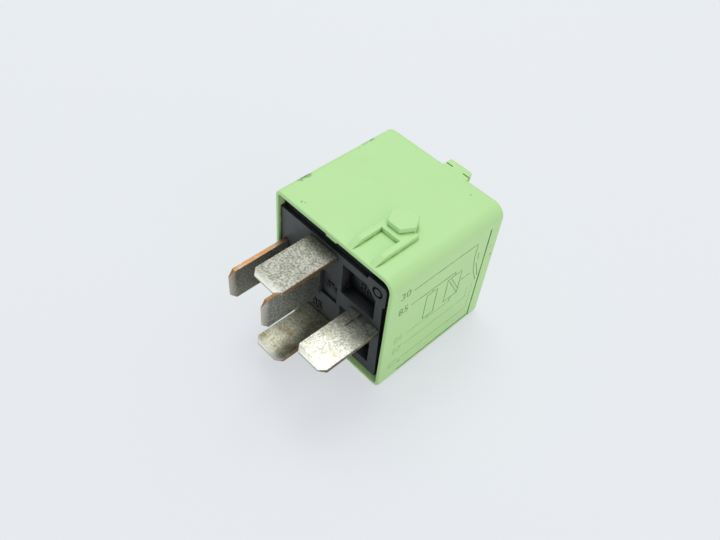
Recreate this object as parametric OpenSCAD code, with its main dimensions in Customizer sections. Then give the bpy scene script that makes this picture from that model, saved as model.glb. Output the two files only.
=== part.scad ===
// Changeover relay with five flat blades, lying on its side.
// +X is the face with the circuit drawing, +Z the face with the latch pad, -Y the blade side.
// The origin is the middle of the side face that it rests on, halfway along the cap.

/* [Cap] */
// Width of the cap, along X
cap_w = 26; // [25.6:0.1:27]
// Height of the cap, along Z
cap_h = 26; // [25.6:0.1:27]
// Length of the cap, from its open rim to its end face, along Y
cap_d = 25.6; // [25.4:0.1:27]
// Wall of the cap's four sides
cap_wall = 0.65; // [0.5:0.05:0.8]
// Wall of the cap's end face
end_wall = 0.9; // [0.7:0.05:1.1]
// Radius of the long edge between the latch face and the circuit face
soft_edge_r = 2.3; // [1.5:0.1:3]
// Radius of the other three long edges
long_edge_r = 0.8; // [0.5:0.1:1.4]
// Radius of the edges around the end face
end_edge_r = 1.2; // [0.6:0.1:1.8]
// Width of the groove that frames the circuit drawing
panel_groove_w = 0.4; // [0.2:0.05:0.8]
// Depth of that groove
panel_groove_depth = 0.14; // [0.08:0.02:0.25]
// Length of the two snap pads along the rim
snap_len = 2.3; // [1.5:0.1:4]
// How far a snap pad stands into the opening
snap_h = 0.42; // [0.3:0.02:0.5]

/* [Latch pad] */
// Middle of the latch pad, right of the cap's centre
pad_x = 5.85; // [3:0.1:7]
// Width of the latch pad over both rails
pad_w = 5.7; // [5:0.1:7]
// Length of the latch pad along the cap
pad_len = 9.1; // [8:0.1:12]
// Height of the latch pad above the cap's face
pad_h = 0.85; // [0.5:0.05:1.1]
// Gap from the rim to the start of the rails
pad_front_gap = 0.3; // [0.1:0.1:1]
// Width of each rail
rail_w = 1; // [0.7:0.1:1.5]
// Length of the ramp at the front of a rail
ramp_len = 2; // [1:0.1:3]
// Length of the open pocket between the rails
pad_pocket_len = 6; // [4:0.1:7]
// Distance across the flats of the hexagonal boss
hex_flats = 4.4; // [3.6:0.1:5]
// Height of the boss above the pad
hex_h = 0.95; // [0.5:0.05:1.1]
// Middle of the boss, left of the pad's middle
hex_shift = 0.45; // [0:0.05:0.6]

/* [Pull tab] */
// Width of the tab at the top of the end face
tab_w = 5.1; // [4:0.1:7]
// How far the tab stands out of the end face
tab_len = 1.6; // [1:0.1:2]
// Thickness of the tab
tab_t = 1.45; // [1:0.05:2]
// Middle of the tab, right of the cap's centre
tab_x = 2.1; // [0:0.1:4]

/* [Blades] */
// Width of a blade
blade_w = 6.3; // [6:0.05:6.4]
// Thickness of a blade
blade_t = 0.8; // [0.7:0.02:0.85]
// Length of a blade beyond the rim
blade_out = 11.2; // [9:0.1:12]
// Chamfer at the corners of a blade's tip
tip_chamfer = 1; // [0.5:0.1:1.5]
// Length of the bevels on the two faces of the tip
tip_bevel_len = 1.1; // [0.6:0.1:1.6]
// Distance between the two coil blades
coil_pitch = 16.8; // [16.6:0.1:17.2]
// Middle of both coil blades, left of the coil's axis
coil_blade_shift = 3.87; // [3.8:0.01:4.2]
// Gap between the working-contact blade and the cap's left wall
working_gap = 1.05; // [0.8:0.05:1.2]
// Distance between the working-contact blade and the rest-contact blade
contact_pitch = 8; // [7.9:0.05:8.1]
// Gap between the common blade's edge and the cap's right wall
common_gap = 1.2; // [1:0.05:1.4]
// Width of the notch between the common blade's two lugs
lug_notch_w = 2; // [1.6:0.1:2.2]
// Width of the common blade's left lug
lug_w = 2; // [1.8:0.1:2.2]
// Gap between the lugs' shoulders and the base plate
shoulder_gap = 0.62; // [0.3:0.02:0.8]

/* [Base plate] */
// How far the plate's outer platform lies inside the rim
platform_depth = 0.5; // [0.3:0.05:0.8]
// Thickness of the raised platform
platform_t = 0.9; // [0.6:0.05:1.2]
// Thickness of the flange below the platform
flange_t = 1.8; // [1.6:0.05:2]
// Depth of the cored pockets
pocket_depth = 1.5; // [1:0.1:1.7]
// Gap between the plate and the cap's walls
plate_fit = 0.08; // [0.05:0.01:0.12]
// Gap around a blade in its slot
slot_fit = 0.05; // [0.03:0.01:0.1]
// Wall between the coil blades and the pockets beside them
pocket_rib = 1.2; // [0.9:0.1:1.4]
// Outer radius of the round gate ring
ring_r = 1.03; // [0.8:0.05:1.3]
// Width of the ring's groove
ring_groove = 0.35; // [0.2:0.05:0.45]

/* [Coil and yoke] */
// Gap between the yoke's back and the cap's right wall
yoke_gap = 1.15; // [1.05:0.05:1.4]
// Thickness of the yoke's steel
yoke_t = 1.6; // [1.4:0.05:1.8]
// Width of the yoke
yoke_w = 14; // [11:0.5:15]
// Gap between the yoke's long leg and the bobbin
coil_gap = 1; // [0.8:0.05:1.2]
// Radius of the core
core_r = 2.5; // [2.2:0.05:2.6]
// Radius of the pole at the core's end
pole_r = 4.7; // [4:0.1:5.5]
// Thickness of the pole
pole_t = 0.95; // [0.7:0.05:1.2]
// Wall of the bobbin's tube
bobbin_wall = 0.8; // [0.6:0.05:1.1]
// Thickness of the bobbin's two flanges
bobbin_flange_t = 0.9; // [0.7:0.05:1.2]
// Radius of the bobbin's flanges
bobbin_flange_r = 6.8; // [6.4:0.05:7]
// How far the winding stays below the flanges' rims
winding_sink = 0.6; // [0.3:0.05:1.2]
// Gap between the rest contact's strip and the cap's end wall
rest_pad_gap = 0.37; // [0.25:0.01:0.5]

/* [Armature and contacts] */
// Angle through which the armature turns
travel_deg = 2.9; // [2.4:0.1:3]
// Thickness of the armature
armature_t = 1.4; // [1.2:0.05:1.45]
// Width of the armature
armature_w = 12; // [10:0.5:13]
// Thickness of the contact spring
spring_t = 0.25; // [0.15:0.01:0.28]
// Width of the contact spring on the armature and yoke
spring_w = 8; // [7.6:0.1:10]
// Width of the contact spring's arm
spring_arm_w = 5.4; // [4:0.1:6]
// Air gap left at the pole and at each closed contact
touch_gap = 0.04; // [0.03:0.01:0.06]
// Height of the moving contact's head on the working side
working_head_h = 0.6; // [0.4:0.05:0.7]
// Height of the moving contact's head on the rest side
rest_head_h = 0.5; // [0.4:0.05:0.6]
// Height of a fixed contact's head
fixed_head_h = 0.7; // [0.5:0.05:0.8]
// Height of the rest contact's head
rest_fixed_h = 0.5; // [0.4:0.05:0.6]
// Radius of the contact heads
contact_r = 1.6; // [1.3:0.1:1.8]
// Width of the strip that rises to the working contact
riser_w = 5.2; // [4.4:0.1:5.6]
// Width of the strip that rises to the rest contact
rest_riser_w = 4.4; // [3:0.1:4.8]

/* [Resistor] */
// Radius of the suppression resistor
resistor_r = 1.2; // [0.9:0.05:1.35]
// Length of the resistor
resistor_len = 6.5; // [5:0.1:8]
// Radius of its wires
resistor_wire_r = 0.3; // [0.2:0.02:0.35]

/* [Hidden] */
$fn = 64;
eps = 0.01;

rim_y = -cap_d / 2;
end_y = cap_d / 2;
mid_z = cap_h / 2;
inner_x = cap_w / 2 - cap_wall;
inner_end_y = end_y - end_wall;

// Base plate levels along Y
platform_y = rim_y + platform_depth;
flange_y = platform_y + platform_t;
plate_in_y = flange_y + flange_t;

// Stack from the cap's right wall to the coil
yoke_face_x = inner_x - yoke_gap;
coil_x = yoke_face_x - yoke_t - coil_gap - bobbin_flange_r;

// Blade places
working_x = -inner_x + working_gap + blade_t / 2;
rest_x = working_x + contact_pitch;
common_x = inner_x - common_gap - blade_w / 2;
coil_blade_x = coil_x - coil_blade_shift;
coil_z = [mid_z - coil_pitch / 2, mid_z + coil_pitch / 2];

// Contacts, across X
contact_x = working_x + contact_r;
strip_t = blade_t;
pad_lip = 0.2;
pad_x1 = contact_x + contact_r + pad_lip;
spring_tip_x = contact_x - contact_r - pad_lip / 2;
armature_gap = 2.5;
armature_tip_x = contact_x + contact_r + armature_gap;
heel_inset = 0.9;
heel_x = yoke_face_x - heel_inset;

// Contacts and armature, along Y from the cap's end wall. The armature is drawn closed
// and turned back by travel_deg about its heel, where the moving contact meets the rest contact.
moving_stack = armature_t + spring_t + rest_head_h;
rest_pad_y = inner_end_y - rest_pad_gap - strip_t;
rest_face_y = rest_pad_y - rest_fixed_h;
closed_y = rest_face_y - touch_gap - moving_stack * cos(travel_deg)
  - (heel_x - contact_x + contact_r) * sin(travel_deg);
arm_back_y = closed_y + armature_t;
spring_back_y = arm_back_y + spring_t;
rest_back_y = spring_back_y + rest_head_h;
working_face_y = arm_back_y - working_head_h - touch_gap;
working_pad_y = working_face_y - fixed_head_h;
rest_riser_gap = 1.5;
rest_riser_z0 = mid_z + spring_arm_w / 2 + rest_riser_gap;
rest_riser_z1 = rest_riser_z0 + rest_riser_w;

// Coil stack along Y
pole_y = closed_y - touch_gap;
foot_in_y = plate_in_y + yoke_t;
wind_y0 = foot_in_y + bobbin_flange_t;
bobbin_end_y = pole_y - pole_t;
wind_y1 = bobbin_end_y - bobbin_flange_t;
winding_r = bobbin_flange_r - winding_sink;
core_fit = 0.05;
wind_fit = 0.02;
tube_r = core_r + core_fit + bobbin_wall;
core_step = 0.6;
rivet_end_r = core_r - core_step;
foot_gap = 0.4;
foot_x = rest_x + blade_t / 2 + foot_gap;
yoke_bend_r = 1.2;

// Spring knee round the yoke's end
knee_r = 1.2;
knee_x = yoke_face_x - knee_r;
knee_y = closed_y + (armature_t - knee_r - (knee_x - heel_x) * sin(travel_deg)) / cos(travel_deg);
knee_steps = 10;
spring_leg_len = 7;
heel_bevel = 0.35;

// Rivets
rivet_fit = 0.02;
rivet_shank_r = 0.7;
rivet_head_r = 1.1;
rivet_head_h = 0.45;
rivet_pitch = 5;
armature_rivet_gap = 4.2;
armature_rivet_x = heel_x - armature_rivet_gap;
yoke_rivet_inset = 2;
yoke_rivet_y = knee_y - spring_leg_len + yoke_rivet_inset;
shank_r = contact_r / 2;

// Coil posts, wire and resistor
post_w = 1.6;
post_len = 5;
post_x0 = coil_blade_x - blade_w / 2;
post_root = 1;
wire_t = 0.25;
wrap_gap = 1.6;
resistor_clear = 0.2;
resistor_x = (working_x + strip_t / 2 + coil_x - bobbin_flange_r) / 2;
resistor_y = plate_in_y + strip_t + resistor_r + resistor_clear;
resistor_cap_len = 1.3;
resistor_neck = 0.15;

// Where a point of the closed armature lies at rest
function rest_place(x, y) = [
  heel_x + (x - heel_x) * cos(travel_deg) + (y - closed_y) * sin(travel_deg),
  closed_y - (x - heel_x) * sin(travel_deg) + (y - closed_y) * cos(travel_deg)
];

// Points round the spring's knee, from the leg to the arm
function knee_point(n, r) =
  let (a = (90 - travel_deg) * n / knee_steps) [knee_x + r * cos(a), knee_y + r * sin(a)];

// A block given by its two corners
module block(a, b) {
  translate(a) cube(b - a);
}

// A rectangle from (0, 0) to (w, h) with its own radius at each corner, counter-clockwise
module soft_rect(w, h, r) {
  polygon([
    [r[0], 0], [w - r[1], 0], [w, r[1]], [w, h - r[2]],
    [w - r[2], h], [r[3], h], [0, h - r[3]], [0, r[0]]
  ]);
  translate([r[0], r[0]]) circle(r[0]);
  translate([w - r[1], r[1]]) circle(r[1]);
  translate([w - r[2], h - r[2]]) circle(r[2]);
  translate([r[3], h - r[3]]) circle(r[3]);
}

// Turns an outline drawn in X and Z into a solid that runs from y0 to y1
module along_y(y0, y1) {
  translate([0, y1, 0]) rotate([90, 0, 0]) linear_extrude(y1 - y0) children();
}

// A round bar along Y
module bar_y(x, z, y0, y1, r) {
  translate([x, y0, z]) rotate([-90, 0, 0]) cylinder(h = y1 - y0, r = r);
}

// A round bar along X
module bar_x(y, z, x0, x1, r) {
  translate([x0, y, z]) rotate([0, 90, 0]) cylinder(h = x1 - x0, r = r);
}

// The armature's turn from its drawn, closed place to rest
module at_rest() {
  translate([heel_x, closed_y, 0]) rotate([0, 0, -travel_deg]) translate([-heel_x, -closed_y, 0]) children();
}

// ---- Cap ----

// Box of the cap, shrunk by a wall on its sides and cut square at y0
module cap_form(inset, y0, y1, soft_r, long_r, end_r) {
  w = cap_w - 2 * inset;
  h = cap_h - 2 * inset;
  intersection() {
    translate([-w / 2, 0, inset]) along_y(y0, y1) soft_rect(w, h, [long_r, long_r, soft_r, long_r]);
    translate([-w / 2, y0, 0]) linear_extrude(cap_h) soft_rect(w, y1 - y0, [eps, eps, end_r, end_r]);
    translate([-w / 2, y0, inset]) rotate([90, 0, 90]) linear_extrude(w)
      soft_rect(y1 - y0, h, [eps, end_r, end_r, eps]);
  }
}

module pad_rail(x0) {
  y0 = rim_y + pad_front_gap;
  translate([x0, 0, 0]) rotate([90, 0, 90]) linear_extrude(rail_w)
    polygon([
      [y0, cap_h - cap_wall / 2], [y0, cap_h],
      [y0 + ramp_len, cap_h + pad_h], [y0 + pad_len, cap_h + pad_h],
      [y0 + pad_len, cap_h - cap_wall / 2]
    ]);
}

module latch_pad() {
  x0 = pad_x - pad_w / 2;
  y0 = rim_y + pad_front_gap;
  pad_rail(x0);
  pad_rail(x0 + pad_w - rail_w);
  block([x0, y0 + pad_pocket_len, cap_h - cap_wall / 2], [x0 + pad_w, y0 + pad_len, cap_h + pad_h]);
  translate([pad_x - hex_shift, y0 + pad_len, cap_h - cap_wall / 2])
    cylinder(h = cap_wall / 2 + pad_h + hex_h, r = hex_flats / sqrt(3), $fn = 6);
}

module pull_tab() {
  slit = 0.3;
  slit_w = 1.4;
  top = cap_h - 0.05;
  difference() {
    translate([tab_x - tab_w / 2, end_y - end_edge_r, top - tab_t]) linear_extrude(tab_t)
      soft_rect(tab_w, end_edge_r + tab_len, [eps, eps, 0.9, 0.5]);
    for (x = [tab_x - tab_w / 2, tab_x + tab_w / 2 - slit_w])
      block([x - eps, end_y, top - 0.5], [x + slit_w, end_y + slit, top + eps]);
  }
}

module panel_groove() {
  x = cap_w / 2 - panel_groove_depth;
  y_back = end_y - 3.1;
  y_front = rim_y + 4.3;
  z_low = 1.4;
  z_high = cap_h - 3;
  block([x, y_back - panel_groove_w, z_low], [x + 1, y_back, z_high]);
  block([x, y_front, z_low], [x + 1, y_back, z_low + panel_groove_w]);
}

module snap_pads() {
  for (z = [cap_wall - eps, cap_h - cap_wall - snap_h])
    block([-snap_len / 2, rim_y, z], [snap_len / 2, flange_y - plate_fit, z + snap_h + eps]);
}

module stop_ribs() {
  rib_w = 1.2;
  rib_h = 0.6;
  rib_z = 2;
  for (side = [-1, 1], z = [rib_z, cap_h - rib_z - rib_w]) {
    x = side * inner_x;
    block([min(x, x - side * rib_h), plate_in_y + plate_fit, z],
      [max(x, x - side * rib_h), inner_end_y + eps, z + rib_w]);
  }
}

module cap() {
  color("#bfe8aa") {
    difference() {
      union() {
        cap_form(0, rim_y, end_y, soft_edge_r, long_edge_r, end_edge_r);
        latch_pad();
        pull_tab();
      }
      cap_form(cap_wall, rim_y - 1, inner_end_y, soft_edge_r - 1.2, long_edge_r / 2, end_edge_r / 2);
      panel_groove();
    }
    snap_pads();
    stop_ribs();
  }
}

// ---- Base plate ----

module blade_slot(x, z, upright, y0, y1) {
  a = (upright ? blade_t : blade_w) / 2 + slot_fit;
  b = (upright ? blade_w : blade_t) / 2 + slot_fit;
  block([x - a, y0, z - b], [x + a, y1, z + b]);
}

module base_plate() {
  edge = inner_x - plate_fit;
  low = cap_wall + plate_fit;
  high = cap_h - cap_wall - plate_fit;
  left = -edge + 0.35;
  right = edge - 1.25;
  right_low = edge - 0.8;
  foot_z = low + 0.7;
  top = coil_z[1] + blade_t / 2 + 0.8;
  ledge_z = top + 0.7;
  step_x = edge - 4.9;
  step_z = coil_z[1] - 2.5;
  ring_x = edge - 2.6;
  ring_z = top - 1.3;
  ring_depth = 0.5;
  pocket_floor = platform_y + pocket_depth;
  pocket_x0 = coil_blade_x + blade_w / 2 + pocket_rib;
  pocket_x1 = edge - 2.75;
  common_rib = 1.25;
  common_edge = blade_t / 2 + common_rib;
  field_floor = platform_y + 0.4;
  field_x0 = rest_x + blade_t / 2 + 0.3;
  field_x1 = pocket_x0 - 0.8;
  field_z0 = mid_z - 2.1;
  field_z1 = mid_z + 3.5;
  color("#404346") difference() {
    union() {
      // flange that fills the cap's opening
      translate([-edge, 0, low]) along_y(flange_y, plate_in_y)
        soft_rect(2 * edge, high - low, [0.5, 0.5, 1.4, 0.5]);
      // raised platform round the blades, with a step up beside the ring and a slanted right side
      along_y(platform_y, flange_y + eps) polygon([
        [left, foot_z], [right_low, foot_z], [right, step_z], [right_low, step_z + 0.4],
        [right_low, ledge_z - 0.6], [right, ledge_z], [step_x + 0.3, ledge_z], [step_x, top], [left, top]
      ]);
    }
    // cored pockets above and below the common blade, the upper one cut short beside the ring
    along_y(platform_y - eps, pocket_floor) polygon([
      [pocket_x0, mid_z + common_edge], [pocket_x1, mid_z + common_edge], [pocket_x1, ring_z - 2.1],
      [pocket_x1 - 2, coil_z[1] - 0.3], [pocket_x0, coil_z[1] - 0.3]
    ]);
    block([pocket_x0, platform_y - eps, coil_z[0] - 1.2], [pocket_x1, pocket_floor, mid_z - common_edge]);
    // shallow field for the blade numbers
    block([field_x0, platform_y - eps, field_z0], [field_x1, field_floor, field_z1]);
    // gate ring
    difference() {
      bar_y(ring_x, ring_z, platform_y - eps, platform_y + ring_depth, ring_r);
      bar_y(ring_x, ring_z, platform_y - 2 * eps, platform_y + 2 * ring_depth, ring_r - ring_groove);
    }
    // slots for the blades
    blade_slot(working_x, mid_z, true, rim_y, plate_in_y + eps);
    blade_slot(rest_x, mid_z, true, rim_y, plate_in_y + eps);
    for (z = coil_z) blade_slot(coil_blade_x, z, false, rim_y, plate_in_y + eps);
    common_tangs(slot_fit, plate_in_y + eps);
  }
}

// ---- Blades ----

// A blade lying flat, from its tip to y1, centred on X and Z
module blade_blank(y1) {
  tip = rim_y - blade_out;
  w = blade_w / 2;
  t = blade_t / 2;
  intersection() {
    translate([0, 0, -t]) linear_extrude(blade_t) polygon([
      [-w, y1], [-w, tip + tip_chamfer], [tip_chamfer - w, tip],
      [w - tip_chamfer, tip], [w, tip + tip_chamfer], [w, y1]
    ]);
    rotate([90, 0, 90]) translate([0, 0, -w]) linear_extrude(blade_w) polygon([
      [tip, -t / 3], [tip + tip_bevel_len, -t], [y1, -t],
      [y1, t], [tip + tip_bevel_len, t], [tip, t / 3]
    ]);
  }
}

// Places a blade flat, or upright on its edge
module blade_at(x, z, upright) {
  translate([x, 0, z]) rotate([0, upright ? 90 : 0, 0]) children();
}

// The two tangs of the common blade: one staked in the yoke, one located in the plate
module common_tangs(fit, y1) {
  t = blade_t / 2 + fit;
  tang_step = 0.3;
  x0 = common_x - blade_w / 2 + tang_step;
  x1 = common_x - blade_w / 2 + lug_w - tang_step / 2;
  x2 = common_x - blade_w / 2 + lug_w + lug_notch_w + tang_step;
  x3 = common_x + blade_w / 2 - tang_step;
  short_y = plate_in_y - 0.7;
  block([x0 - fit, rim_y - 1, mid_z - t], [x1 + fit, y1, mid_z + t]);
  block([x2 - fit, rim_y - 1, mid_z - t], [x3 + fit, short_y + fit, mid_z + t]);
}

module blade_30() {
  shoulder_y = platform_y - shoulder_gap;
  notch_depth = 0.7;
  notch_x = common_x - blade_w / 2 + lug_w;
  slit_w = 0.16;
  slit_len = 1.9;
  slit_depth = 0.15;
  color("#c9c7bf") {
    difference() {
      blade_at(common_x, mid_z, false) blade_blank(shoulder_y);
      block([notch_x, shoulder_y - notch_depth, 0], [notch_x + lug_notch_w, shoulder_y + 1, cap_h]);
      block([notch_x, shoulder_y - notch_depth - slit_len, mid_z + blade_t / 2 - slit_depth],
        [notch_x + slit_w, shoulder_y, cap_h]);
    }
    difference() {
      common_tangs(0, foot_in_y);
      block([-cap_w, rim_y - 5, 0], [cap_w, shoulder_y - eps, cap_h]);
    }
  }
}

module coil_blade(z) {
  color("#c9c7bf") {
    blade_at(coil_blade_x, z, false) blade_blank(plate_in_y + post_root);
    block([post_x0, plate_in_y, z - blade_t / 2], [post_x0 + post_w, plate_in_y + post_len, z + blade_t / 2]);
  }
}

module blade_85() { coil_blade(coil_z[0]); }
module blade_86() { coil_blade(coil_z[1]); }

module blade_87() {
  x0 = working_x - strip_t / 2;
  z0 = mid_z - riser_w / 2;
  z1 = mid_z + riser_w / 2;
  color("#c9c7bf") difference() {
    union() {
      blade_at(working_x, mid_z, true) blade_blank(plate_in_y);
      block([x0, plate_in_y - eps, z0], [x0 + strip_t, working_pad_y, z1]);
      block([x0, working_pad_y - strip_t, z0], [pad_x1, working_pad_y, z1]);
    }
    bar_y(contact_x, mid_z, working_pad_y - strip_t - eps, working_pad_y + eps, shank_r + rivet_fit);
  }
}

module blade_87a() {
  x0 = working_x - strip_t / 2;
  x1 = rest_x + blade_t / 2;
  x_slope = x0 + 3;
  x_low = x0 + 1.4;
  x_flat = x1 - 3.5;
  z0 = mid_z + blade_t / 2;
  z1 = mid_z + blade_w / 2;
  color("#c9c7bf") difference() {
    union() {
      blade_at(rest_x, mid_z, true) blade_blank(plate_in_y);
      // run along the plate, past the working blade
      along_y(plate_in_y, plate_in_y + strip_t) polygon([
        [x1, z0], [x1, z1], [x_flat, z1], [x_slope, rest_riser_z1],
        [x0, rest_riser_z1], [x0, rest_riser_z0], [x_low, rest_riser_z0], [x_slope, z0]
      ]);
      block([x0, plate_in_y, rest_riser_z0], [x0 + strip_t, rest_pad_y + strip_t, rest_riser_z1]);
      block([x0, rest_pad_y, mid_z - riser_w / 2], [pad_x1, rest_pad_y + strip_t, rest_riser_z1]);
    }
    bar_y(contact_x, mid_z, rest_pad_y - eps, rest_pad_y + strip_t + eps, shank_r + rivet_fit);
  }
}

// ---- Magnet ----

module yoke() {
  color("#9aa0a4") difference() {
    translate([0, 0, mid_z - yoke_w / 2]) linear_extrude(yoke_w) difference() {
      union() {
        translate([foot_x, plate_in_y]) square([yoke_face_x - foot_x, yoke_t]);
        translate([yoke_face_x - yoke_t, plate_in_y]) square([yoke_t, pole_y - plate_in_y]);
      }
      translate([yoke_face_x - yoke_bend_r, plate_in_y - eps]) difference() {
        square(yoke_bend_r + eps);
        translate([0, yoke_bend_r + eps]) circle(yoke_bend_r);
      }
    }
    bar_y(coil_x, mid_z, plate_in_y - 1, foot_in_y + 1, rivet_end_r + rivet_fit);
    common_tangs(slot_fit, foot_in_y + eps);
    for (s = [-0.5, 0.5])
      bar_x(yoke_rivet_y, mid_z + s * rivet_pitch, yoke_face_x - yoke_t - 1, yoke_face_x + 1,
        rivet_shank_r + rivet_fit);
  }
}

module core() {
  color("#b4b8ba") {
    bar_y(coil_x, mid_z, plate_in_y, foot_in_y + eps, rivet_end_r);
    bar_y(coil_x, mid_z, foot_in_y, pole_y - pole_t + eps, core_r);
    bar_y(coil_x, mid_z, bobbin_end_y, pole_y, pole_r);
  }
}

module bobbin() {
  color("#23272b") translate([coil_x, foot_in_y, mid_z]) rotate([-90, 0, 0]) rotate_extrude() polygon([
    [core_r + core_fit, 0], [bobbin_flange_r, 0], [bobbin_flange_r, bobbin_flange_t],
    [tube_r, bobbin_flange_t], [tube_r, wind_y1 - foot_in_y],
    [bobbin_flange_r, wind_y1 - foot_in_y], [bobbin_flange_r, bobbin_end_y - foot_in_y],
    [core_r + core_fit, bobbin_end_y - foot_in_y]
  ]);
}

module winding() {
  color("#9c4a22") translate([coil_x, wind_y0 + wind_fit, mid_z]) rotate([-90, 0, 0]) rotate_extrude()
    translate([tube_r + wind_fit, 0]) square([winding_r - tube_r, wind_y1 - wind_y0 - 2 * wind_fit]);
}

// Each end of the wire leaves the winding, runs to its post and is wrapped round it
module winding_ends() {
  y = plate_in_y + post_len - wrap_gap;
  post_mid_x = post_x0 + post_w / 2;
  x = post_x0 + post_w - wire_t;
  color("#b5652f") for (s = [0, 1]) {
    z = coil_z[s];
    side = s == 0 ? -1 : 1;
    for (n = [0 : 2]) translate([post_mid_x, y + n * 2 * wire_t, z]) rotate([90, 0, 0])
      translate([0, 0, -wire_t / 2]) linear_extrude(wire_t) difference() {
        square([post_w + 2 * wire_t, blade_t + 2 * wire_t], center = true);
        square([post_w, blade_t], center = true);
      }
    // the strand that steps from one turn to the next
    z_out = z + side * blade_t / 2;
    block([x, y, min(z_out, z_out + side * wire_t)],
      [x + wire_t, y + 4 * wire_t, max(z_out, z_out + side * wire_t)]);
    z_edge = z - side * (blade_t + wire_t) / 2;
    z_wind = mid_z + side * sqrt(pow(winding_r + 2 * wind_fit, 2) - pow(coil_x - x - wire_t, 2));
    block([x, y - wire_t / 2, min(z_edge, z_wind)], [x + wire_t, y + wire_t / 2, max(z_edge, z_wind)]);
  }
}

// ---- Armature and contacts ----

module armature() {
  color("#a5aaad") at_rest() difference() {
    translate([0, 0, mid_z - armature_w / 2]) linear_extrude(armature_w) polygon([
      [armature_tip_x, closed_y], [heel_x, closed_y], [heel_x, arm_back_y - heel_bevel],
      [heel_x - heel_bevel, arm_back_y], [armature_tip_x, arm_back_y]
    ]);
    for (s = [-0.5, 0.5])
      bar_y(armature_rivet_x, mid_z + s * rivet_pitch, closed_y - 1, arm_back_y + 1,
        rivet_shank_r + rivet_fit);
  }
}

// Leg on the yoke's back, knee round the yoke's end and arm across the armature, as one outline
module spring_outline() {
  leg_y = knee_y - spring_leg_len;
  polygon(concat(
    [[yoke_face_x, leg_y]],
    [for (n = [0 : knee_steps]) knee_point(n, knee_r)],
    [rest_place(spring_tip_x, arm_back_y), rest_place(spring_tip_x, spring_back_y)],
    [for (n = [knee_steps : -1 : 0]) knee_point(n, knee_r + spring_t)],
    [[yoke_face_x + spring_t, leg_y]]
  ));
}

module contact_spring() {
  side_w = (spring_w - spring_arm_w) / 2;
  color("#b88a5c") difference() {
    translate([0, 0, mid_z - spring_w / 2]) linear_extrude(spring_w) spring_outline();
    // the arm beyond the armature is narrower
    for (z = [mid_z - spring_w / 2 - 1, mid_z + spring_arm_w / 2])
      at_rest()
        block([spring_tip_x - 1, arm_back_y - 1, z], [armature_tip_x, spring_back_y + 1, z + side_w + 1]);
    for (s = [-0.5, 0.5]) {
      z = mid_z + s * rivet_pitch;
      bar_x(yoke_rivet_y, z, yoke_face_x - 1, yoke_face_x + 1, rivet_shank_r + rivet_fit);
      at_rest() bar_y(armature_rivet_x, z, arm_back_y - 1, spring_back_y + 1, rivet_shank_r + rivet_fit);
    }
    at_rest() bar_y(contact_x, mid_z, arm_back_y - 1, spring_back_y + 1, shank_r + rivet_fit);
  }
}

module armature_rivets() {
  color("#8d9296") at_rest() for (s = [-0.5, 0.5]) {
    z = mid_z + s * rivet_pitch;
    bar_y(armature_rivet_x, z, closed_y, spring_back_y + eps, rivet_shank_r);
    bar_y(armature_rivet_x, z, spring_back_y, spring_back_y + rivet_head_h, rivet_head_r);
  }
}

module yoke_rivets() {
  x1 = yoke_face_x + spring_t;
  color("#8d9296") for (s = [-0.5, 0.5]) {
    z = mid_z + s * rivet_pitch;
    bar_x(yoke_rivet_y, z, yoke_face_x - yoke_t, x1 + eps, rivet_shank_r);
    bar_x(yoke_rivet_y, z, x1, x1 + rivet_head_h, rivet_head_r);
  }
}

module moving_contact() {
  color("#dcdad2") at_rest() {
    bar_y(contact_x, mid_z, arm_back_y - working_head_h, arm_back_y, contact_r);
    bar_y(contact_x, mid_z, arm_back_y - eps, spring_back_y + eps, shank_r);
    bar_y(contact_x, mid_z, spring_back_y, rest_back_y, contact_r);
  }
}

module working_contact() {
  color("#dcdad2") {
    bar_y(contact_x, mid_z, working_pad_y - strip_t, working_pad_y + eps, shank_r);
    bar_y(contact_x, mid_z, working_pad_y, working_face_y, contact_r);
  }
}

module rest_contact() {
  color("#dcdad2") {
    bar_y(contact_x, mid_z, rest_face_y, rest_pad_y, contact_r);
    bar_y(contact_x, mid_z, rest_pad_y - eps, rest_pad_y + strip_t, shank_r);
  }
}

// ---- Resistor across the coil ----

module resistor() {
  z0 = mid_z - resistor_len / 2;
  color("#7f9ab0") {
    translate([resistor_x, resistor_y, z0]) cylinder(h = resistor_len, r = resistor_r - resistor_neck);
    for (z = [z0, z0 + resistor_len - resistor_cap_len])
      translate([resistor_x, resistor_y, z]) cylinder(h = resistor_cap_len, r = resistor_r);
  }
}

module resistor_wires() {
  r = resistor_wire_r;
  color("#c4c2ba") for (s = [0, 1]) {
    side = s == 0 ? -1 : 1;
    z0 = mid_z + side * resistor_len / 2;
    z1 = coil_z[s];
    translate([resistor_x, resistor_y, min(z0, z1)]) cylinder(h = abs(z1 - z0), r = r);
    translate([resistor_x, resistor_y, z1]) sphere(r);
    bar_x(resistor_y, z1, resistor_x, post_x0, r);
  }
}

cap();
base_plate();
blade_30();
blade_85();
blade_86();
blade_87();
blade_87a();
yoke();
core();
bobbin();
winding();
winding_ends();
armature();
contact_spring();
armature_rivets();
yoke_rivets();
moving_contact();
working_contact();
rest_contact();
resistor();
resistor_wires();
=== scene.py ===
import math

import bmesh
import bpy
from mathutils import Matrix, Vector


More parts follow.
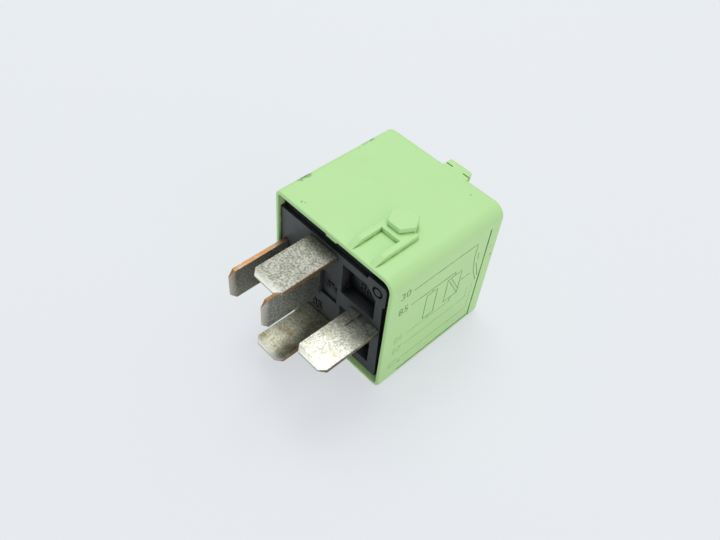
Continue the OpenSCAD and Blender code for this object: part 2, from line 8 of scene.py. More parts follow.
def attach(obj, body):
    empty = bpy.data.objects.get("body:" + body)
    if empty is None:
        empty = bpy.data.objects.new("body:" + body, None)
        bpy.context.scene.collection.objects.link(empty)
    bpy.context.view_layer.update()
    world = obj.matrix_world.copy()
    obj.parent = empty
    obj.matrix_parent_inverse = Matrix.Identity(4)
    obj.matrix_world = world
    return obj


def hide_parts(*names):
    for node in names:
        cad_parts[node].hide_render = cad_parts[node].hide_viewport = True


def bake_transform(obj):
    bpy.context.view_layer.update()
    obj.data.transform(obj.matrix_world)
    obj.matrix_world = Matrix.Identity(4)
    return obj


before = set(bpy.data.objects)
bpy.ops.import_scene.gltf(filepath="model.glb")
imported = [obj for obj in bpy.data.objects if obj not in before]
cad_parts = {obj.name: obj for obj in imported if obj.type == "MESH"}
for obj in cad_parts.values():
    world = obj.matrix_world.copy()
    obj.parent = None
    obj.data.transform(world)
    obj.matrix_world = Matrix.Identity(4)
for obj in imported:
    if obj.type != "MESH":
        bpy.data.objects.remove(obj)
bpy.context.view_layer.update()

# ---- Camera ----
# The relay lies on its side and is looked at from close by, from above the terminal end
# and a little to its right, with the camera tipped slightly.
camera_data = bpy.data.cameras.new("camera")
camera_data.sensor_width = 36
camera_data.lens = 36.63
camera_data.clip_start = 0.005
turn, rise, tip = (math.radians(angle) for angle in (41.620, 48.550, 6.454))
back = Vector((math.sin(turn) * math.cos(rise), -math.cos(turn) * math.cos(rise), math.sin(rise)))
level = Vector((0, 0, 1)).cross(back).normalized()
upright = back.cross(level)
right = math.cos(tip) * level + math.sin(tip) * upright
up = -math.sin(tip) * level + math.cos(tip) * upright
camera = bpy.data.objects.new("camera", camera_data)
camera.matrix_world = Matrix.Translation(
    right * 0.006071 + up * 0.012012 + back * 0.126710 - Vector((0, 0.0128, 0))
) @ Matrix((right, up, back)).transposed().to_4x4()
bpy.context.scene.collection.objects.link(camera)
bpy.context.scene.camera = camera


# ---- Floor and light ----
# A sheet of matt white board under a plain soft sky, one large soft lamp high on the left
# behind the relay and a weak fill on its right. The board keeps the relay's soft shadow.
def tone(code, alpha=1):
    parts = [int(code[n : n + 2], 16) / 255 for n in (1, 3, 5)]
    return [c / 12.92 if c <= 0.04045 else ((c + 0.055) / 1.055) ** 2.4 for c in parts] + [alpha]


def add_node(tree, kind, inputs=None, **settings):
    made = tree.nodes.new("ShaderNode" + kind)
    for name, value in settings.items():
        setattr(made, name, value)
    for key, value in (inputs or {}).items():
        if isinstance(value, bpy.types.NodeSocket):
            tree.links.new(value, made.inputs[key])
        else:
            made.inputs[key].default_value = value
    return made


def new_piece(name, bm):
    """Closes a bmesh drawn in millimetres and puts it in the scene in metres."""
    bmesh.ops.scale(bm, vec=(0.001, 0.001, 0.001), verts=bm.verts)
    mesh = bpy.data.meshes.new(name)
    bm.to_mesh(mesh)
    bm.free()
    piece = bpy.data.objects.new(name, mesh)
    bpy.context.scene.collection.objects.link(piece)
    return piece


def blank_finish(name):
    finish = bpy.data.materials.new(name)
    finish.use_nodes = True
    finish.node_tree.nodes.clear()
    return finish


board_half = 1200
bm = bmesh.new()
bmesh.ops.create_grid(bm, x_segments=1, y_segments=1, size=board_half)
board = new_piece("board", bm)
# a matt coat that takes the shadow, with a plain pale tone laid over it for the camera
white_board = blank_finish("matt_white_board")
tree = white_board.node_tree
pale_tone = tone("#EBEFF2")
plain_share = 0.62
coat = add_node(tree, "BsdfDiffuse", {"Color": tone("#EAEBEC")})
plain = add_node(tree, "Emission", {"Color": pale_tone, "Strength": 1})
path = add_node(tree, "LightPath")
share = add_node(tree, "Math", {0: path.outputs["Is Camera Ray"], 1: plain_share}, operation="MULTIPLY")
both = add_node(tree, "MixShader", {0: share.outputs[0], 1: coat.outputs[0], 2: plain.outputs[0]})
add_node(tree, "OutputMaterial", {"Surface": both.outputs[0]})
board.data.materials.append(white_board)

world = bpy.data.worlds.new("soft_sky")
world.use_nodes = True
tree = world.node_tree
tree.nodes.clear()
path = add_node(tree, "LightPath")
sky = add_node(tree, "Background", {"Color": tone("#E6EDF4"), "Strength": 0.75})
pale = add_node(tree, "Background", {"Color": pale_tone, "Strength": 1})
seen = add_node(tree, "MixShader", {0: path.outputs["Is Camera Ray"], 1: sky.outputs[0], 2: pale.outputs[0]})
add_node(tree, "OutputWorld", {"Surface": seen.outputs[0]})
bpy.context.scene.world = world


def area_lamp(name, spot, size, energy, shade):
    """A square lamp at a place, turned to face the relay."""
    data = bpy.data.lights.new(name, "AREA")
    data.size = size
    data.energy = energy
    data.color = tone(shade)[:3]
    lamp = bpy.data.objects.new(name, data)
    spot = Vector(spot)
    lamp.matrix_world = Matrix.Translation(spot) @ spot.to_track_quat("Z", "Y").to_matrix().to_4x4()
    bpy.context.scene.collection.objects.link(lamp)


area_lamp("soft_lamp", (-0.19, 0.165, 0.575), 0.32, 1.3, "#FFFFFF")
area_lamp("fill_lamp", (0.5, -0.1, 0.22), 0.4, 0.58, "#F8D4F2")
bpy.context.scene.view_settings.view_transform = "Standard"


# ---- Cap ----
# The deep box that closes the relay: one injection moulding in pale green nylon with soft edges,
# open at the terminal end. It carries a latch pad with a hexagonal boss, a pull tab and a circuit
# drawing cut into its right side, and it snaps over the base plate.
cap_w, cap_d, cap_h = 26, 25.6, 26
cap_wall, end_wall = 0.65, 0.9
rim_y, end_y = -cap_d / 2, cap_d / 2
side_x, mid_z = cap_w / 2, cap_h / 2
long_r, soft_r, end_r = 1.2, 2.3, 1.2
pad_w, pad_x, pad_len, pad_t = 5.7, 5.85, 9.1, 0.85
pad_y, pad_rail, pad_ramp, pad_pocket = rim_y + 0.3, 1, 2, 6
hex_flats, hex_t, hex_x = 4.4, 0.95, 5.4
tab_x, tab_w, tab_len, tab_t, tab_slant = 2.1, 5.1, 1.6, 1.45, 0.7
snap_x, snap_w, snap_t, snap_len = -0.13, 2.3, 0.42, 1.3
slit_w, slit_gap, slit_depth = 1.5, 0.24, 0.45


def flat_face(bm, points):
    return bm.faces.new([bm.verts.new(p) for p in points])


def block(bm, low, high):
    """A box between two corners."""
    low, high = Vector(low), Vector(high)
    place = Matrix.Translation((low + high) / 2) @ Matrix.Diagonal((*(high - low), 1))
    bmesh.ops.create_cube(bm, size=1, matrix=place)


def pull(bm, face, step):
    """Draws a face out by a step and gives the new face."""
    new = bmesh.ops.extrude_discrete_faces(bm, faces=[face])["faces"][0]
    bmesh.ops.translate(bm, vec=step, verts=new.verts)
    return new


def round_edges(bm, width, segments=2, angle=30, only=None):
    edges = [
        e for e in bm.edges
        if e.is_manifold and e.calc_face_angle(0) > math.radians(angle) and (only is None or only(e))
    ]
    bmesh.ops.bevel(
        bm, geom=edges, offset=width, offset_type="OFFSET", segments=segments, profile=0.5,
        affect="EDGES", clamp_overlap=True, material=-1,
    )


def smooth(piece, angle=32):
    mesh = piece.data
    mesh.shade_smooth()
    mesh.set_sharp_from_angle(angle=math.radians(angle))
    weigh = piece.modifiers.new("even_faces", "WEIGHTED_NORMAL")
    weigh.keep_sharp = True
    weigh.weight = 60


def dress(piece, body, finish, slot, *nodes):
    piece.data.materials.clear()
    piece.data.materials.append(finish)
    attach(piece, body)
    if nodes:
        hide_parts(*nodes)


# the shell: rim ring and cavity first, then the outer walls and the rounded far end
bm = bmesh.new()
flat_face(bm, [(-side_x, rim_y, 0), (side_x, rim_y, 0), (side_x, rim_y, cap_h), (-side_x, rim_y, cap_h)])
for x, z, r in ((-side_x, 0, long_r), (side_x, 0, long_r), (side_x, cap_h, soft_r), (-side_x, cap_h, long_r)):
    corner = [v for v in bm.verts if (v.co - Vector((x, rim_y, z))).length < 0.01]
    bmesh.ops.bevel(
        bm, geom=corner, offset=r, offset_type="OFFSET", segments=10, profile=0.5,
        affect="VERTICES", material=-1,
    )
middle = Matrix.Translation((0, 0, -mid_z))
bm.faces.ensure_lookup_table()
rim = bm.faces[0]
bmesh.ops.inset_individual(bm, faces=[rim], thickness=cap_wall, depth=0, use_even_offset=True)
bm.faces.ensure_lookup_table()
hollow = max(bm.faces, key=lambda f: f.calc_area())
outer = [e for e in bm.edges if e.is_boundary]
inner_end = end_y - end_wall
hollow = pull(bm, hollow, (0, inner_end - 0.6 - rim_y, 0))
hollow = pull(bm, hollow, (0, 0.6, 0))
bmesh.ops.scale(bm, vec=(0.96, 1, 0.96), space=middle, verts=hollow.verts)
turns = 8
for n in range(turns + 1):
    out = bmesh.ops.extrude_edge_only(bm, edges=outer)["geom"]
    verts = [v for v in out if isinstance(v, bmesh.types.BMVert)]
    outer = [e for e in out if isinstance(e, bmesh.types.BMEdge)]
    if n == 0:
        bmesh.ops.translate(bm, vec=(0, cap_d - end_r, 0), verts=verts)
        continue
    a0, a1 = (math.radians(90) * k / turns for k in (n - 1, n))
    bmesh.ops.translate(bm, vec=(0, end_r * (math.sin(a1) - math.sin(a0)), 0), verts=verts)
    s = (cap_w / 2 - end_r * (1 - math.cos(a1))) / (cap_w / 2 - end_r * (1 - math.cos(a0)))
    bmesh.ops.scale(bm, vec=(s, 1, s), space=middle, verts=verts)
bmesh.ops.contextual_create(bm, geom=outer)
bmesh.ops.recalc_face_normals(bm, faces=bm.faces)


def side_gap(point):
    """How far a point on the rim lies inside the nearest side of the cap."""
    return side_x - max(abs(point.x), abs(point.z - mid_z))


# the rim's outer edge is softened, up to the middle of the wide soft corner
lip_r, lip_reach = 0.28, 0.3
bm.normal_update()
lip = [
    e for e in bm.edges
    if all(abs(v.co.y - rim_y) < 0.001 for v in e.verts)
    and any(f.normal.y > -0.5 for f in e.link_faces)
    and min(side_gap(v.co) for v in e.verts) < lip_reach
]
bmesh.ops.bevel(
    bm, geom=lip, offset=lip_r, offset_type="OFFSET", segments=3, profile=0.5,
    affect="EDGES", clamp_overlap=True, material=-1,
)
cap = new_piece("cap_shell", bm)

# cuts for the panel groove and the circuit drawing, joined in one tool; the plain terminal numbers are cut
# one by one after
stroke_w, stroke_depth = 0.15, 0.08


def stroke(bm, points, width=stroke_w, depth=stroke_depth):
    """Bars along a path on the right side, given by its places along Y from the rim and up Z."""
    for (y0, z0), (y1, z1) in zip(points, points[1:]):
        length = math.hypot(y1 - y0, z1 - z0) + width
        place = Matrix.Translation((side_x, rim_y + (y0 + y1) / 2, (z0 + z1) / 2))
        place = place @ Matrix.Rotation(math.atan2(z1 - z0, y1 - y0), 4, "X")
        bmesh.ops.create_cube(bm, size=1, matrix=place @ Matrix.Diagonal((2 * depth, length, width, 1)))


def carve(piece, tool, operation="DIFFERENCE"):
    step = piece.modifiers.new("carve", "BOOLEAN")
    step.operation = operation
    step.solver = "EXACT"
    step.use_self = True
    step.object = tool
    graph = bpy.context.evaluated_depsgraph_get()
    mesh = bpy.data.meshes.new_from_object(piece.evaluated_get(graph))
    piece.modifiers.clear()
    piece.data = mesh
    bpy.data.objects.remove(tool)


bm = bmesh.new()
stroke(bm, [(22.3, 1.4), (22.3, 22.9)], 0.36, 0.34)
stroke(bm, [(9.6, 1.6), (21.7, 1.6)], 0.36, 0.3)
stroke(bm, [(4.3, 1.6), (9.6, 1.6)], 0.3, 0.12)
drawing = [
    [(4.9, 21.6), (19.4, 21.6), (19.4, 20.8)],
    [(4.9, 18.2), (15, 18.2), (15, 17.4)],
    [(9.7, 18.2), (9.7, 17.4)],
    [(8.5, 17.4), (10.9, 17.4), (10.9, 11.7), (8.5, 11.7), (8.5, 17.4)],
    [(13.4, 17.4), (16.7, 17.4), (16.7, 12), (13.4, 12), (13.4, 17.4)],
    [(13.8, 16.8), (16.4, 12.4)],
    [(14.3, 17), (16.7, 13)],
    [(9.7, 11.7), (9.7, 11)],
    [(15, 12), (15, 11)],
    [(17.2, 14.8), (18, 14.8)],
    [(18.5, 14.8), (19.3, 14.8)],
    [(19.4, 20.8), (19.5, 18), (20.1, 14.8), (21.4, 11.8)],
    [(20.3, 19), (20.5, 17.4)],
    [(20.4, 16.4), (21.7, 12.6)],
]
for points in drawing:
    stroke(bm, points)
# the lower lines are worn almost flat
worn_lines = [
    [(4.9, 11), (15, 11)],
    [(4.9, 8.3), (19.6, 8.3), (19.6, 11.2)],
    [(4.9, 4.6), (20.9, 4.6), (20.9, 10.8)],
]
for points in worn_lines:
    stroke(bm, points, 0.13, 0.03)
carve(cap, new_piece("drawing_tool", bm))


def lettering(name, words, size, thickness, place):
    """Generic numbers as a closed mesh, stood in place."""
    curve = bpy.data.curves.new(name, "FONT")
    curve.body = words
    curve.size = size / 1000
    curve.extrude = thickness / 2000
    curve.align_x = "CENTER"
    curve.align_y = "CENTER"
    curve.resolution_u = 3
    line = bpy.data.objects.new(name, curve)
    bpy.context.scene.collection.objects.link(line)
    mesh = bpy.data.meshes.new_from_object(line.evaluated_get(bpy.context.evaluated_depsgraph_get()))
    bpy.data.objects.remove(line)
    mesh.transform(place)
    piece = bpy.data.objects.new(name, mesh)
    bpy.context.scene.collection.objects.link(piece)
    return piece


number_size, number_y = 2.2, 3.1
side_turn = Matrix.Rotation(math.radians(90), 4, "Z") @ Matrix.Rotation(math.radians(90), 4, "X")
for number, z, cut in (
    ("30", 21.8, 0.22), ("85", 18.2, 0.2), ("86", 11, 0.07), ("87", 8.1, 0.07), ("87a", 4.5, 0.06),
):
    spot = Matrix.Translation((side_x / 1000, (rim_y + number_y) / 1000, z / 1000)) @ side_turn
    carve(cap, lettering("number_" + number, number, number_size, cut, spot))

# latch pad: a U-shaped rail with ramps at the rim
bm = bmesh.new()
x0, x1 = pad_x - pad_w / 2, pad_x + pad_w / 2
low_z = cap_h - 0.4
y1, y2 = pad_y + pad_pocket, pad_y + pad_len
pad = flat_face(bm, [
    (x0, pad_y, low_z), (x0, y2, low_z), (x1, y2, low_z), (x1, pad_y, low_z),
    (x1 - pad_rail, pad_y, low_z), (x1 - pad_rail, y1, low_z),
    (x0 + pad_rail, y1, low_z), (x0 + pad_rail, pad_y, low_z),
])
bmesh.ops.duplicate(bm, geom=[pad])
pull(bm, pad, (0, 0, cap_h + pad_t - low_z))
bmesh.ops.remove_doubles(bm, verts=bm.verts, dist=0.0001)
bmesh.ops.bisect_plane(
    bm, geom=bm.verts[:] + bm.edges[:] + bm.faces[:],
    plane_co=(0, pad_y + pad_ramp, 0), plane_no=(0, 1, 0),
)
for v in bm.verts:
    if v.co.y < pad_y + 0.01 and v.co.z > cap_h:
        v.co.z = cap_h - 0.02
bmesh.ops.recalc_face_normals(bm, faces=bm.faces)
round_edges(bm, 0.13, 3, 20, lambda e: min(v.co.z for v in e.verts) > cap_h + 0.02)
latch_pad = new_piece("latch_pad", bm)

# hexagonal boss at the pad's end
bm = bmesh.new()
hex_r = hex_flats / math.sqrt(3)
bmesh.ops.create_cone(
    bm, cap_ends=True, segments=6, radius1=hex_r, radius2=hex_r, depth=pad_t + hex_t + 0.4,
    matrix=Matrix.Translation((hex_x, y2, cap_h + (pad_t + hex_t - 0.4) / 2))
    @ Matrix.Rotation(math.radians(30), 4, "Z"),
)
round_edges(bm, 0.16, 3, 20, lambda e: max(v.co.z for v in e.verts) > cap_h + 0.5)
hex_boss = new_piece("hex_boss", bm)

# pull tab on the far end, with a slanted side and a slit at each root
bm = bmesh.new()
tab_top = cap_h - 0.05
tab_x0, tab_x1, tab_z = tab_x - tab_w / 2, tab_x + tab_w / 2, tab_top - tab_t
tab = flat_face(bm, [
    (tab_x0, end_y - 1, tab_z), (tab_x1, end_y - 1, tab_z), (tab_x1, end_y + 0.2, tab_z),
    (tab_x1 - tab_slant, end_y + tab_len, tab_z), (tab_x0, end_y + tab_len, tab_z),
])
bmesh.ops.duplicate(bm, geom=[tab])
pull(bm, tab, (0, 0, tab_t))
bmesh.ops.remove_doubles(bm, verts=bm.verts, dist=0.0001)
bmesh.ops.recalc_face_normals(bm, faces=bm.faces)
round_edges(bm, 0.3, 4, 20, lambda e: min(v.co.y for v in e.verts) > end_y - 0.9)
pull_tab = new_piece("pull_tab", bm)
bm = bmesh.new()
for x in (tab_x0 + tab_slant, tab_x1 - tab_slant):
    block(
        bm, (x - slit_w / 2, end_y, tab_top - slit_depth),
        (x + slit_w / 2, end_y + slit_gap, tab_top + slit_depth),
    )
carve(pull_tab, new_piece("slit_tool", bm))

# the two snap pads that hold the base plate, inside the rim
bm = bmesh.new()
for z in (cap_wall + snap_t / 2 - 0.05, cap_h - cap_wall - snap_t / 2 + 0.05):
    block(
        bm, (snap_x - snap_w / 2, rim_y + 0.01, z - snap_t / 2 - 0.05),
        (snap_x + snap_w / 2, rim_y + 0.01 + snap_len, z + snap_t / 2 + 0.05),
    )
round_edges(bm, 0.1, 2)
snap_pads = new_piece("snap_pads", bm)

# pale green nylon, moulded: satin, faintly mottled, with painted shade and dirt darkening every groove and
# corner
cap_nylon = blank_finish("moulded_green_nylon")
tree = cap_nylon.node_tree
place = add_node(tree, "TexCoord").outputs["Object"]
cloud = add_node(tree, "TexNoise", {"Vector": place, "Scale": 1 / 0.009, "Detail": 3}).outputs["Fac"]
body = add_node(
    tree, "Mix", {0: cloud, 6: tone("#B9E598"), 7: tone("#C1EAA0")}, data_type="RGBA"
).outputs[2]
# painted shade and dirt: the corners and grooves are darkened in patches, from the ambient occlusion
hollow_depth = add_node(tree, "AmbientOcclusion", {"Distance": 0.00045}, samples=8).outputs["AO"]
shade_and_dirt = add_node(
    tree, "MapRange", {"Value": hollow_depth, "From Min": 0.3, "From Max": 0.86, "To Min": 1, "To Max": 0}
).outputs[0]
patchy = add_node(tree, "TexNoise", {"Vector": place, "Scale": 1 / 0.0022, "Detail": 5}).outputs["Fac"]
patchy = add_node(
    tree, "MapRange", {"Value": patchy, "From Min": 0.35, "From Max": 0.6, "To Min": 0.35}
).outputs[0]
shade_and_dirt = add_node(tree, "Math", {0: shade_and_dirt, 1: patchy}, operation="MULTIPLY").outputs[0]
body = add_node(tree, "Mix", {0: shade_and_dirt, 6: body, 7: tone("#4A5A38")}, data_type="RGBA").outputs[2]
# scuffs: rubbed dark spots along the left edge and a few specks on the top, each with its reach
ragged = add_node(tree, "TexNoise", {"Vector": place, "Scale": 1 / 0.0006, "Detail": 4}).outputs["Fac"]
ragged = add_node(tree, "MapRange", {"Value": ragged, "From Min": 0.4, "From Max": 0.55}).outputs[0]
scuffs = [
    (-12.5, -8.2, 25.8, 1.1, 0.95), (-12.5, -6.9, 25.8, 1.1, 0.9), (-12.7, 5.6, 25.6, 1, 0.9),
    (-12.7, 7.2, 25.6, 1.1, 0.8), (-12.8, 8.6, 25.4, 0.7, 0.7), (-8.1, -11.6, 26, 0.35, 0.6),
    (-7.6, -11.3, 26, 0.3, 0.35), (-11.9, 4.1, 26, 0.2, 0.4), (7.4, 10, 26, 0.35, 0.3),
    (13, 11.1, 16.1, 0.45, 0.8), (13, 10.6, 18.4, 0.5, 0.35),
]
for x, y, z, size, strength in scuffs:
    gap = add_node(
        tree, "VectorMath", {0: place, 1: (x / 1000, y / 1000, z / 1000)}, operation="DISTANCE"
    ).outputs["Value"]
    reach = add_node(
        tree, "MapRange",
        {"Value": gap, "From Min": size * 0.0003, "From Max": size / 1000, "To Min": strength, "To Max": 0},
    ).outputs[0]
    spot = add_node(tree, "Math", {0: reach, 1: ragged}, operation="MULTIPLY").outputs[0]
    body = add_node(tree, "Mix", {0: spot, 6: body, 7: tone("#3C3F33")}, data_type="RGBA").outputs[2]
grain = add_node(tree, "TexNoise", {"Vector": place, "Scale": 1 / 0.00035, "Detail": 2}).outputs["Fac"]
waves = add_node(tree, "TexNoise", {"Vector": place, "Scale": 1 / 0.006, "Detail": 1}).outputs["Fac"]
fine = add_node(tree, "Bump", {"Height": grain, "Strength": 0.12, "Distance": 0.00004})
sink = add_node(
    tree, "Bump", {"Height": waves, "Strength": 0.25, "Distance": 0.0003, "Normal": fine.outputs[0]}
)
gloss = add_node(tree, "MapRange", {"Value": cloud, "To Min": 0.4, "To Max": 0.52}).outputs[0]
shader = add_node(tree, "BsdfPrincipled", {
    "Base Color": body, "Roughness": gloss, "IOR": 1.52, "Normal": sink.outputs[0],
    "Subsurface Weight": 0.12, "Subsurface Scale": 0.0006,
})
add_node(tree, "OutputMaterial", {"Surface": shader.outputs[0]})
dress(cap, "housing", cap_nylon, "cap_plastic", "cap")
smooth(cap)
for piece in (latch_pad, hex_boss, pull_tab, snap_pads):
    dress(piece, "housing", cap_nylon, "cap_plastic")
    smooth(piece)


# ---- Base plate ----
# The plate that closes the cap and carries the five blades: glass-filled dark grey nylon,
# moulded, with cored pockets, a ring left by the mould's gate and small raised numbers.
def soften(node, width, segments=2, angle=30):
    """A merged copy of a CAD node with its sharp edges rounded, in millimetres."""
    bm = bmesh.new()
    bm.from_mesh(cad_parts[node].data)
    bmesh.ops.scale(bm, vec=(1000, 1000, 1000), verts=bm.verts)
    bmesh.ops.remove_doubles(bm, verts=bm.verts, dist=0.002)
    bmesh.ops.dissolve_limit(bm, angle_limit=math.radians(1), verts=bm.verts, edges=bm.edges)
    round_edges(bm, width, segments, angle)
    return bm


plate = new_piece("base_plate_moulding", soften("base_plate", 0.09, 2))
# the pockets are cored almost through, and the upper one is stepped beside the gate ring
pocket_x0, pocket_x1, step_x = 2.3, 9.5, 7.4
platform_y, pocket_floor = rim_y + 0.5, rim_y + 2.85
bm = bmesh.new()
for x1, z0, z1 in ((pocket_x1, 14.68, 19.1), (step_x, 15, 21.08), (pocket_x1, 3.45, 11.33)):
    block(bm, (pocket_x0, rim_y + 0.95, z0), (x1, pocket_floor, z1))
carve(plate, new_piece("pocket_tool", bm))

# grey nylon: satin, with the glass fibres just showing
grey_nylon = blank_finish("glass_filled_grey_nylon")
tree = grey_nylon.node_tree
place = add_node(tree, "TexCoord").outputs["Object"]
cloud = add_node(tree, "TexNoise", {"Vector": place, "Scale": 1 / 0.003, "Detail": 5}).outputs["Fac"]
fibre = add_node(tree, "TexNoise", {"Vector": place, "Scale": 1 / 0.0003, "Detail": 3}).outputs["Fac"]
body = add_node(tree, "Mix", {0: cloud, 6: tone("#2E3333"), 7: tone("#474D4D")}, data_type="RGBA").outputs[2]
# painted shade: the pockets and the gap beside the cap are darkened almost to black, from the ambient
# occlusion
nook = add_node(tree, "AmbientOcclusion", {"Distance": 0.0026}, samples=12).outputs["AO"]
dark = add_node(
    tree, "MapRange", {"Value": nook, "From Min": 0.56, "From Max": 0.92, "To Min": 1, "To Max": 0}
).outputs[0]
body = add_node(tree, "Mix", {0: dark, 6: body, 7: tone("#040506")}, data_type="RGBA").outputs[2]
relief = add_node(tree, "Bump", {"Height": fibre, "Strength": 0.3, "Distance": 0.00006})
gloss = add_node(tree, "MapRange", {"Value": fibre, "To Min": 0.38, "To Max": 0.6}).outputs[0]
shader = add_node(
    tree, "BsdfPrincipled", {"Base Color": body, "Roughness": gloss, "IOR": 1.53, "Normal": relief.outputs[0]}
)
add_node(tree, "OutputMaterial", {"Surface": shader.outputs[0]})
dress(plate, "housing", grey_nylon, "plate_plastic", "base_plate")
smooth(plate)
# the numbers stand a little above the faces they are moulded on
front_turn = Matrix.Rotation(math.radians(90), 4, "X")
raise_y, letter_t = 0.05, 0.3
for name, number, x, y, z, size in (
    ("field_number", "87a", 0, platform_y + 0.4, 13.6, 1.9),
    ("left_number", "85", -2.9, platform_y, 7, 2.6),
    ("pocket_number", "86", 5.4, pocket_floor, 16.6, 2.6),
):
    spot = Matrix.Translation((x / 1000, (y - raise_y) / 1000, z / 1000)) @ front_turn
    raised = lettering(name, number, size, letter_t, spot)
    dress(raised, "housing", grey_nylon, "plate_plastic")
# the platform's left side lies close to the cap's wall
bm = bmesh.new()
block(bm, (-12.27, platform_y + 0.001, 1.51), (-11.83, platform_y + 0.899, 22.59))
round_edges(bm, 0.06, 2)
edge_strip = new_piece("platform_edge", bm)
dress(edge_strip, "housing", grey_nylon, "plate_plastic")
smooth(edge_strip)


# ---- Blades ----
# Five 6.3 x 0.8 mm blades: stamped from brass strip and tin plated on both faces, with the
# sheared edges showing the copper colour of the strip. Each is pressed through the base plate.
def blade_tin(name, thickness_axis, low, high, stain_tone, edge_tone, dull):
    """Tin between two tones, with its stains, its bare edges and its least roughness."""
    finish = blank_finish(name)
    tree = finish.node_tree
    place = add_node(tree, "TexCoord").outputs["Object"]
    # the rolled face: long faint streaks along the blade, 0.6 mm apart, and cloudy stains
    along = add_node(tree, "Mapping", {"Vector": place, "Scale": (1, 0.12, 1)}).outputs[0]
    streak = add_node(tree, "TexNoise", {"Vector": along, "Scale": 1 / 0.0006, "Detail": 6}).outputs["Fac"]
    cloud = add_node(tree, "TexNoise", {"Vector": place, "Scale": 1 / 0.0022, "Detail": 5}).outputs["Fac"]
    # the crystals of the tin, 0.3 mm across, and the dirt between them
    crystal = add_node(tree, "TexNoise", {"Vector": place, "Scale": 1 / 0.0003, "Detail": 4}).outputs["Fac"]
    speck = add_node(tree, "MapRange", {"Value": crystal, "From Min": 0.36, "From Max": 0.62}).outputs[0]
    tin = add_node(tree, "Mix", {0: speck, 6: tone(low), 7: tone(high)}, data_type="RGBA").outputs[2]
    stain = add_node(
        tree, "MapRange", {"Value": cloud, "From Min": 0.5, "From Max": 0.72, "To Max": 0.75}
    ).outputs[0]
    tin = add_node(tree, "Mix", {0: stain, 6: tin, 7: tone(stain_tone)}, data_type="RGBA").outputs[2]
    # painted highlight: the bevelled tip is painted near white
    length = add_node(tree, "SeparateXYZ", {0: place}).outputs["Y"]
    tip_highlight = add_node(
        tree, "MapRange",
        {"Value": length, "From Min": -0.0238, "From Max": -0.0227, "To Min": 0.9, "To Max": 0},
    ).outputs[0]
    tin = add_node(tree, "Mix", {0: tip_highlight, 6: tin, 7: tone("#E4E4D8")}, data_type="RGBA").outputs[2]
    # the sheared edges: their normals lie across the blade's thickness
    facing = add_node(
        tree, "VectorMath",
        {0: add_node(tree, "NewGeometry").outputs["Normal"], 1: thickness_axis}, operation="DOT_PRODUCT",
    ).outputs["Value"]
    flat = add_node(tree, "Math", {0: facing}, operation="ABSOLUTE").outputs[0]
    edge = add_node(
        tree, "MapRange", {"Value": flat, "From Min": 0.25, "From Max": 0.6, "To Min": 0.85, "To Max": 0}
    ).outputs[0]
    bare = add_node(
        tree, "MapRange", {"Value": cloud, "From Min": 0.3, "From Max": 0.5, "To Min": 0.45}
    ).outputs[0]
    edge = add_node(tree, "Math", {0: edge, 1: bare}, operation="MULTIPLY").outputs[0]
    skin = add_node(tree, "Mix", {0: edge, 6: tin, 7: tone(edge_tone)}, data_type="RGBA").outputs[2]
    # painted shade and dirt: darker in the notch and round the roots
    nook = add_node(tree, "AmbientOcclusion", {"Distance": 0.0004}, samples=8).outputs["AO"]
    shade_and_grime = add_node(
        tree, "MapRange", {"Value": nook, "From Min": 0.2, "From Max": 0.7, "To Min": 0.9, "To Max": 0}
    ).outputs[0]
    skin = add_node(tree, "Mix", {0: shade_and_grime, 6: skin, 7: tone("#2E2A22")}, data_type="RGBA").outputs[2]
    gloss = add_node(tree, "MapRange", {"Value": streak, "To Min": dull, "To Max": dull + 0.24}).outputs[0]
    rough = add_node(tree, "Bump", {"Height": crystal, "Strength": 0.35, "Distance": 0.00006})
    relief = add_node(
        tree, "Bump", {"Height": streak, "Strength": 0.25, "Distance": 0.00005, "Normal": rough.outputs[0]}
    )
    shader = add_node(tree, "BsdfPrincipled", {
        "Base Color": skin, "Metallic": 1, "Roughness": gloss, "Normal": relief.outputs[0],
    })
    add_node(tree, "OutputMaterial", {"Surface": shader.outputs[0]})
    return finish


level_axis, upright_axis = (0, 0, 1), (1, 0, 0)
bright_tin = blade_tin("tinned_brass_bright", level_axis, "#A3A395", "#DDDDD0", "#A69D80", "#6E5A40", 0.28)
# painted shade: blade 86 gets a darker copy of the tin, as it takes less of the lamp's reflection; it is also
# rougher
matt_shaded_tin = blade_tin("tinned_brass_matt_shaded", level_axis, "#7A7A70", "#B6B6A9", "#8A8471", "#A87238", 0.4)
stained_tin = blade_tin("tinned_brass_stained", level_axis, "#9A9884", "#C9C7B0", "#85744A", "#A8763F", 0.3)
upright_tin = blade_tin("tinned_brass_upright", upright_axis, "#93938A", "#CFCFC4", "#8C866C", "#B07A42", 0.3)
for node, finish in (
    ("blade_30", bright_tin), ("blade_85", stained_tin), ("blade_86", matt_shaded_tin),
    ("blade_87", upright_tin), ("blade_87a", upright_tin),
):
    blade = new_piece(node + "_strip", soften(node, 0.09, 3))
    dress(blade, "housing", finish, "tinned_blade", node)
    smooth(blade)
# the common blade's two lugs run on to the plate, and the notch between them is shallow
bm = bmesh.new()
half_t = 0.395
for x0, x1, y0, y1 in (
    (4.87, 6.85, -13, platform_y - 0.01), (8.85, 11.13, -13, platform_y - 0.01), (6.75, 8.95, -13.7, -13.1),
):
    block(bm, (x0, y0, mid_z - half_t), (x1, y1, mid_z + half_t))
round_edges(bm, 0.04, 2)
lugs = new_piece("blade_30_lugs", bm)
dress(lugs, "housing", bright_tin, "tinned_blade")
smooth(lugs)


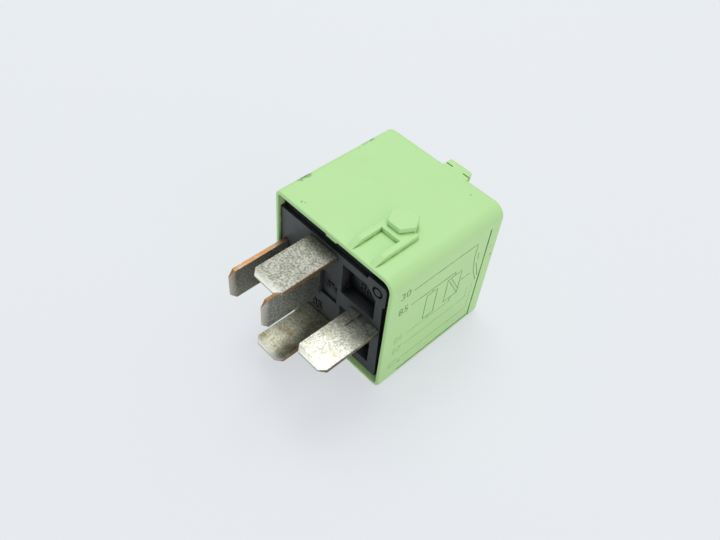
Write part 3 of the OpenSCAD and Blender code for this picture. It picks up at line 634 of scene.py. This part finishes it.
# ---- Parts inside the cap ----
# The magnet, the coil, the armature with its contact spring and the resistor across the coil.
# They are closed in by the cap and keep their plain shapes.
def finish_node(name, slot_nodes, dark, light, grain_mm, **sockets):
    """Gives some of the inside pieces a plain finish with a slight grain."""
    finish = blank_finish(name)
    tree = finish.node_tree
    place = add_node(tree, "TexCoord").outputs["Object"]
    grain = {"Vector": place, "Scale": 1000 / grain_mm, "Detail": 4}
    cloud = add_node(tree, "TexNoise", grain).outputs["Fac"]
    body = add_node(tree, "Mix", {0: cloud, 6: tone(dark), 7: tone(light)}, data_type="RGBA").outputs[2]
    relief = add_node(tree, "Bump", {"Height": cloud, "Strength": 0.15, "Distance": 0.00005})
    settings = {"Base Color": body, "Normal": relief.outputs[0]}
    settings.update({key.replace("_", " "): value for key, value in sockets.items()})
    shader = add_node(tree, "BsdfPrincipled", settings)
    add_node(tree, "OutputMaterial", {"Surface": shader.outputs[0]})
    for node in slot_nodes:
        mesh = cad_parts[node].data
        mesh.materials.clear()
        mesh.materials.append(finish)
    return finish


# zinc-plated soft iron: the yoke, core and armature
finish_node(
    "zinc_plated_iron", ("yoke", "core", "armature"), "#8E9498", "#B2B8BA", 1.5, Metallic=1, Roughness=0.38
)
# black glass-filled bobbin
finish_node("black_bobbin_nylon", ("bobbin",), "#191C1F", "#262A2E", 1, Roughness=0.5)
# enamelled copper wire
finish_node(
    "enamelled_copper", ("winding", "winding_ends"), "#8A3D1C", "#B0592C", 0.4, Metallic=0.8, Roughness=0.3
)
# rolled bronze spring
spring_bronze = finish_node(
    "bronze_spring_strip", ("contact_spring",), "#A87847", "#C49560", 1.2, Metallic=1, Roughness=0.32
)
# the contact spring as a softened copy of its CAD part, baked in place and smoothed
spring = new_piece("contact_spring_leaf", soften("contact_spring", 0.03, 1))
spring.data.materials.append(spring_bronze)
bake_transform(spring)
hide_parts("contact_spring")
smooth(spring)
# steel rivets
finish_node(
    "steel_rivet", ("armature_rivets", "yoke_rivets"), "#858A8E", "#A5AAAD", 0.8, Metallic=1, Roughness=0.35
)
# silver contacts
finish_node(
    "silver_contact", ("moving_contact", "working_contact", "rest_contact"), "#D0CEC6", "#E6E4DD", 0.6,
    Metallic=1, Roughness=0.25,
)
# blue-grey lacquered resistor
finish_node("resistor_lacquer", ("resistor",), "#6E8AA2", "#86A2B8", 0.8, Roughness=0.35)
# tinned wire
finish_node("tinned_copper_wire", ("resistor_wires",), "#B4B2AA", "#D2D0C8", 0.5, Metallic=1, Roughness=0.3)
